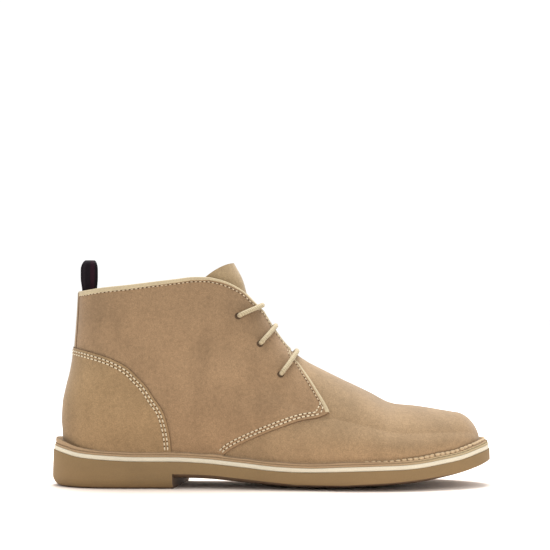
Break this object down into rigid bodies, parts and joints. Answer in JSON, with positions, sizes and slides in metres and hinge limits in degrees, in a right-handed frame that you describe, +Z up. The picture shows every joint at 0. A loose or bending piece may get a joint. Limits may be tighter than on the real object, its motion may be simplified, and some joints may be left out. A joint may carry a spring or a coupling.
{
  "type": "chukka boot",
  "caption": "Right-foot suede ankle boot with stitched-down upper, open throat with straight bar lacing, tongue, heel pull loop and rubber sole.",
  "frame": {"origin": "centre of the boot's bounding box, on the floor under the sole", "axes": "+X from heel to toe, +Y to the inner (medial) side of the right foot, +Z up"},
  "size_m": [0.3, 0.1042, 0.1537],
  "materials": {
    "sole": "matt moulded rubber",
    "midsole": "matt cream rubber",
    "welt": "matt olive-tan strip",
    "suede": "brushed suede with a soft nap",
    "insole": "smooth lining leather",
    "lace": "round waxed cotton cord",
    "webbing": "woven tape with a dark red stripe"
  },
  "bodies": {
    "root": {"outsole": "sole", "midsole": "midsole", "welt": "welt", "insole": "insole", "upper": "suede", "tongue": "suede", "lace": "lace", "pull_loop": "webbing"}
  },
  "joints": []
}
